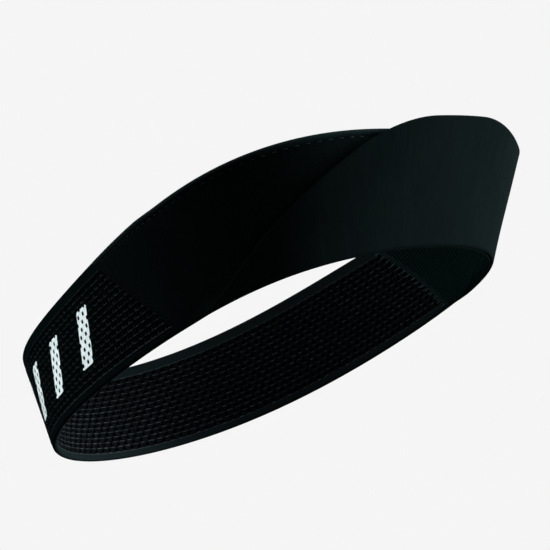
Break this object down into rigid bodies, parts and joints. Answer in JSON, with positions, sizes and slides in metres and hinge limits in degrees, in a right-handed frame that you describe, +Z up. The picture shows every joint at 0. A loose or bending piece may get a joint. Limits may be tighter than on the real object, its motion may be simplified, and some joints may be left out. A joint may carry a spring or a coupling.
{
  "type": "sports headband",
  "caption": "Crossover sports headband: lined fabric panels that cross at the forehead, sewn by slanted seams to a wide eyelet-knit elastic band at the back.",
  "frame": {"origin": "centre of the box on the plane that the lower rim stands on", "axes": "+Z up the band, -Y out of the forehead, +X to the wearer's left"},
  "size_m": [0.153, 0.234, 0.04],
  "materials": {
    "eyelet_webbing": "matt black elastic knit with rows of small blind eyelets",
    "selvedge": "matt black plain elastic knit",
    "print": "matt white transfer print",
    "panel_fabric": "smooth black jersey with a soft sheen",
    "lining": "matt black rib knit",
    "stay_tape": "matt elastic tape",
    "thread": "black polyester thread with a slight sheen"
  },
  "bodies": {
    "front_panels": {"left_panel_shell": "panel_fabric", "left_panel_lining": "lining", "left_panel_stay_tape": "stay_tape", "right_panel_shell": "panel_fabric", "right_panel_lining": "lining", "right_panel_stay_tape": "stay_tape", "right_panel_hem_stitches": "thread", "left_seam_allowance": "panel_fabric", "right_seam_allowance": "panel_fabric", "left_seam_overlock": "thread", "right_seam_overlock": "thread", "left_seam_topstitch": "thread", "right_seam_topstitch": "thread", "left_crossover_tack": "thread", "right_crossover_tack": "thread"},
    "rear_elastic": {"rear_band": "eyelet_webbing", "rear_band_upper_selvedge": "selvedge", "rear_band_lower_selvedge": "selvedge", "printed_marks": "print"}
  },
  "joints": [
    {"name": "rear_band_stretch", "type": "slide", "parent": "front_panels", "child": "rear_elastic", "axis": [0, 1, 0], "range_m": [0, 0.025], "stiffness_N_per_m": 150, "deforming": ["rear_band", "rear_band_upper_selvedge", "rear_band_lower_selvedge", "printed_marks"]}
  ]
}
